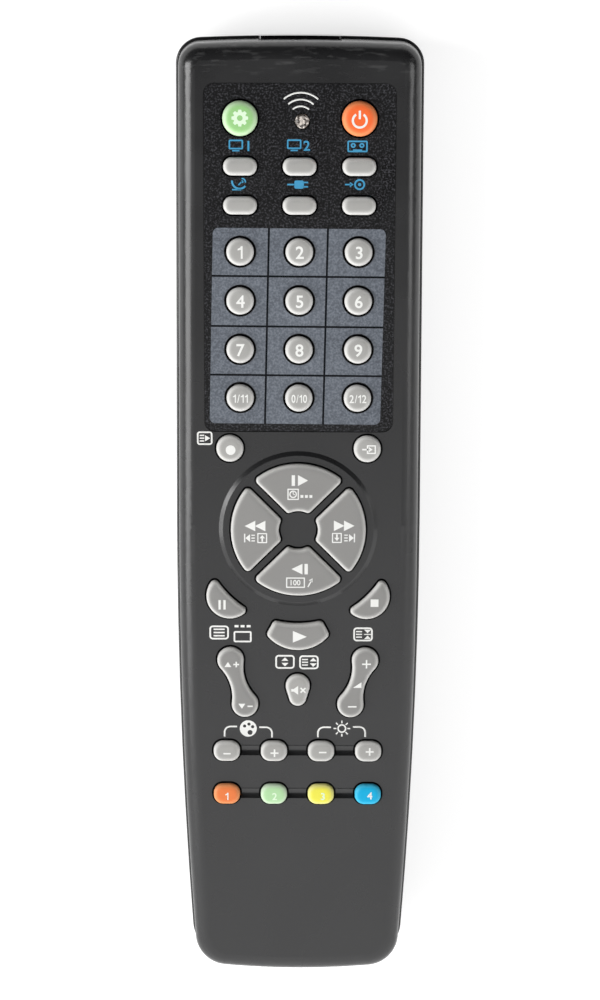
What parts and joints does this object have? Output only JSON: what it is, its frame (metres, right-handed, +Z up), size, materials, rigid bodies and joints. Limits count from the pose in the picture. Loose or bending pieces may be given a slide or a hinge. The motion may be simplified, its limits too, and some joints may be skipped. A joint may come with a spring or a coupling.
{
  "type": "universal remote control",
  "caption": "Long black hand-held remote with round grey rubber keys, a four-way key ring, rocker keys, an infrared window at one end and a sliding battery door underneath.",
  "frame": {"origin": "centre of the remote's underside, on the surface that it lies on", "axes": "+Z up through the keys, +Y along the remote to the infrared window, +X to the right as the keys are read"},
  "size_m": [0.053, 0.206, 0.0244],
  "materials": {
    "case_black": "satin",
    "window_black": "gloss",
    "label_film": "satin",
    "lamp_lens": "gloss",
    "key_grey": "matte",
    "key_mint": "matte",
    "key_orange": "matte",
    "key_red": "matte",
    "key_green": "matte",
    "key_yellow": "matte",
    "key_blue": "matte",
    "mat_rubber": "matte",
    "board_green": "satin",
    "carbon": "matte",
    "screw_steel": "satin",
    "contact_steel": "satin",
    "led_clear": "gloss",
    "cell_jacket": "gloss",
    "chip_black": "matte",
    "resonator_orange": "gloss",
    "capacitor_sleeve": "gloss"
  },
  "bodies": {
    "case": {"top_shell": "case_black", "bottom_shell": "case_black", "ir_window": "window_black", "face_label": "label_film", "signal_lamp": "lamp_lens", "circuit_board": "board_green", "carbon_pads": "carbon", "keypad_mat": "mat_rubber", "board_screws": "screw_steel", "case_screw": "screw_steel", "ir_led": "led_clear", "batteries": "cell_jacket", "contact_plates": "contact_steel", "battery_springs": "contact_steel", "control_chip": "chip_black", "chip_leads": "contact_steel", "resonator": "resonator_orange", "capacitor": "capacitor_sleeve", "transistor": "chip_black"},
    "battery_door": {"battery_door": "case_black"},
    "set_key": {"set_key": "key_mint"},
    "power_key": {"power_key": "key_orange"},
    "device_key_1": {"device_key_1": "key_grey"},
    "device_key_2": {"device_key_2": "key_grey"},
    "device_key_3": {"device_key_3": "key_grey"},
    "device_key_4": {"device_key_4": "key_grey"},
    "device_key_5": {"device_key_5": "key_grey"},
    "device_key_6": {"device_key_6": "key_grey"},
    "key_one": {"key_one": "key_grey"},
    "key_two": {"key_two": "key_grey"},
    "key_three": {"key_three": "key_grey"},
    "key_four": {"key_four": "key_grey"},
    "key_five": {"key_five": "key_grey"},
    "key_six": {"key_six": "key_grey"},
    "key_seven": {"key_seven": "key_grey"},
    "key_eight": {"key_eight": "key_grey"},
    "key_nine": {"key_nine": "key_grey"},
    "key_eleven": {"key_eleven": "key_grey"},
    "key_zero": {"key_zero": "key_grey"},
    "key_twelve": {"key_twelve": "key_grey"},
    "record_key": {"record_key": "key_grey"},
    "input_key": {"input_key": "key_grey"},
    "up_key": {"up_key": "key_grey"},
    "left_key": {"left_key": "key_grey"},
    "down_key": {"down_key": "key_grey"},
    "right_key": {"right_key": "key_grey"},
    "pause_key": {"pause_key": "key_grey"},
    "stop_key": {"stop_key": "key_grey"},
    "play_key": {"play_key": "key_grey"},
    "mute_key": {"mute_key": "key_grey"},
    "contrast_down_key": {"contrast_down_key": "key_grey"},
    "contrast_up_key": {"contrast_up_key": "key_grey"},
    "brightness_down_key": {"brightness_down_key": "key_grey"},
    "brightness_up_key": {"brightness_up_key": "key_grey"},
    "red_key": {"red_key": "key_red"},
    "green_key": {"green_key": "key_green"},
    "yellow_key": {"yellow_key": "key_yellow"},
    "blue_key": {"blue_key": "key_blue"},
    "channel_rocker": {"channel_rocker": "key_grey"},
    "volume_rocker": {"volume_rocker": "key_grey"}
  },
  "joints": [
    {"name": "battery_door_slide", "type": "slide", "parent": "case", "child": "battery_door", "axis": [0, -1, 0], "range_m": [0, 0.082]},
    {"name": "set_key_press", "type": "slide", "parent": "case", "child": "set_key", "axis": [0, 0, -1], "range_m": [0, 0.00085], "stiffness_N_per_m": 1200},
    {"name": "power_key_press", "type": "slide", "parent": "case", "child": "power_key", "axis": [0, 0, -1], "range_m": [0, 0.00085], "stiffness_N_per_m": 1200},
    {"name": "device_key_1_press", "type": "slide", "parent": "case", "child": "device_key_1", "axis": [0, 0, -1], "range_m": [0, 0.00085], "stiffness_N_per_m": 1200},
    {"name": "device_key_2_press", "type": "slide", "parent": "case", "child": "device_key_2", "axis": [0, 0, -1], "range_m": [0, 0.00085], "stiffness_N_per_m": 1200},
    {"name": "device_key_3_press", "type": "slide", "parent": "case", "child": "device_key_3", "axis": [0, 0, -1], "range_m": [0, 0.00085], "stiffness_N_per_m": 1200},
    {"name": "device_key_4_press", "type": "slide", "parent": "case", "child": "device_key_4", "axis": [0, 0, -1], "range_m": [0, 0.00085], "stiffness_N_per_m": 1200},
    {"name": "device_key_5_press", "type": "slide", "parent": "case", "child": "device_key_5", "axis": [0, 0, -1], "range_m": [0, 0.00085], "stiffness_N_per_m": 1200},
    {"name": "device_key_6_press", "type": "slide", "parent": "case", "child": "device_key_6", "axis": [0, 0, -1], "range_m": [0, 0.00085], "stiffness_N_per_m": 1200},
    {"name": "key_one_press", "type": "slide", "parent": "case", "child": "key_one", "axis": [0, 0, -1], "range_m": [0, 0.00085], "stiffness_N_per_m": 1200},
    {"name": "key_two_press", "type": "slide", "parent": "case", "child": "key_two", "axis": [0, 0, -1], "range_m": [0, 0.00085], "stiffness_N_per_m": 1200},
    {"name": "key_three_press", "type": "slide", "parent": "case", "child": "key_three", "axis": [0, 0, -1], "range_m": [0, 0.00085], "stiffness_N_per_m": 1200},
    {"name": "key_four_press", "type": "slide", "parent": "case", "child": "key_four", "axis": [0, 0, -1], "range_m": [0, 0.00085], "stiffness_N_per_m": 1200},
    {"name": "key_five_press", "type": "slide", "parent": "case", "child": "key_five", "axis": [0, 0, -1], "range_m": [0, 0.00085], "stiffness_N_per_m": 1200},
    {"name": "key_six_press", "type": "slide", "parent": "case", "child": "key_six", "axis": [0, 0, -1], "range_m": [0, 0.00085], "stiffness_N_per_m": 1200},
    {"name": "key_seven_press", "type": "slide", "parent": "case", "child": "key_seven", "axis": [0, 0, -1], "range_m": [0, 0.00085], "stiffness_N_per_m": 1200},
    {"name": "key_eight_press", "type": "slide", "parent": "case", "child": "key_eight", "axis": [0, 0, -1], "range_m": [0, 0.00085], "stiffness_N_per_m": 1200},
    {"name": "key_nine_press", "type": "slide", "parent": "case", "child": "key_nine", "axis": [0, 0, -1], "range_m": [0, 0.00085], "stiffness_N_per_m": 1200},
    {"name": "key_eleven_press", "type": "slide", "parent": "case", "child": "key_eleven", "axis": [0, 0, -1], "range_m": [0, 0.00085], "stiffness_N_per_m": 1200},
    {"name": "key_zero_press", "type": "slide", "parent": "case", "child": "key_zero", "axis": [0, 0, -1], "range_m": [0, 0.00085], "stiffness_N_per_m": 1200},
    {"name": "key_twelve_press", "type": "slide", "parent": "case", "child": "key_twelve", "axis": [0, 0, -1], "range_m": [0, 0.00085], "stiffness_N_per_m": 1200},
    {"name": "record_key_press", "type": "slide", "parent": "case", "child": "record_key", "axis": [0, 0, -1], "range_m": [0, 0.00085], "stiffness_N_per_m": 1200},
    {"name": "input_key_press", "type": "slide", "parent": "case", "child": "input_key", "axis": [0, 0, -1], "range_m": [0, 0.00085], "stiffness_N_per_m": 1200},
    {"name": "up_key_press", "type": "slide", "parent": "case", "child": "up_key", "axis": [0, 0, -1], "range_m": [0, 0.00085], "stiffness_N_per_m": 1200},
    {"name": "left_key_press", "type": "slide", "parent": "case", "child": "left_key", "axis": [0, 0, -1], "range_m": [0, 0.00085], "stiffness_N_per_m": 1200},
    {"name": "down_key_press", "type": "slide", "parent": "case", "child": "down_key", "axis": [0, 0, -1], "range_m": [0, 0.00085], "stiffness_N_per_m": 1200},
    {"name": "right_key_press", "type": "slide", "parent": "case", "child": "right_key", "axis": [0, 0, -1], "range_m": [0, 0.00085], "stiffness_N_per_m": 1200},
    {"name": "pause_key_press", "type": "slide", "parent": "case", "child": "pause_key", "axis": [0, 0, -1], "range_m": [0, 0.00085], "stiffness_N_per_m": 1200},
    {"name": "stop_key_press", "type": "slide", "parent": "case", "child": "stop_key", "axis": [0, 0, -1], "range_m": [0, 0.00085], "stiffness_N_per_m": 1200},
    {"name": "play_key_press", "type": "slide", "parent": "case", "child": "play_key", "axis": [0, 0, -1], "range_m": [0, 0.00085], "stiffness_N_per_m": 1200},
    {"name": "mute_key_press", "type": "slide", "parent": "case", "child": "mute_key", "axis": [0, 0, -1], "range_m": [0, 0.00085], "stiffness_N_per_m": 1200},
    {"name": "contrast_down_key_press", "type": "slide", "parent": "case", "child": "contrast_down_key", "axis": [0, 0, -1], "range_m": [0, 0.00085], "stiffness_N_per_m": 1200},
    {"name": "contrast_up_key_press", "type": "slide", "parent": "case", "child": "contrast_up_key", "axis": [0, 0, -1], "range_m": [0, 0.00085], "stiffness_N_per_m": 1200},
    {"name": "brightness_down_key_press", "type": "slide", "parent": "case", "child": "brightness_down_key", "axis": [0, 0, -1], "range_m": [0, 0.00085], "stiffness_N_per_m": 1200},
    {"name": "brightness_up_key_press", "type": "slide", "parent": "case", "child": "brightness_up_key", "axis": [0, 0, -1], "range_m": [0, 0.00085], "stiffness_N_per_m": 1200},
    {"name": "red_key_press", "type": "slide", "parent": "case", "child": "red_key", "axis": [0, 0, -1], "range_m": [0, 0.00085], "stiffness_N_per_m": 1200},
    {"name": "green_key_press", "type": "slide", "parent": "case", "child": "green_key", "axis": [0, 0, -1], "range_m": [0, 0.00085], "stiffness_N_per_m": 1200},
    {"name": "yellow_key_press", "type": "slide", "parent": "case", "child": "yellow_key", "axis": [0, 0, -1], "range_m": [0, 0.00085], "stiffness_N_per_m": 1200},
    {"name": "blue_key_press", "type": "slide", "parent": "case", "child": "blue_key", "axis": [0, 0, -1], "range_m": [0, 0.00085], "stiffness_N_per_m": 1200},
    {"name": "channel_rocker_rock", "type": "hinge", "parent": "case", "child": "channel_rocker", "pos_m": [-0.013, -0.03479, 0.0215], "axis": [0.9542, 0.299, 0], "range_deg": [-4.4, 4.4], "stiffness_Nm_per_rad": 0.07},
    {"name": "volume_rocker_rock", "type": "hinge", "parent": "case", "child": "volume_rocker", "pos_m": [0.013, -0.03479, 0.0215], "axis": [0.9542, -0.299, 0], "range_deg": [-4.4, 4.4], "stiffness_Nm_per_rad": 0.07}
  ]
}
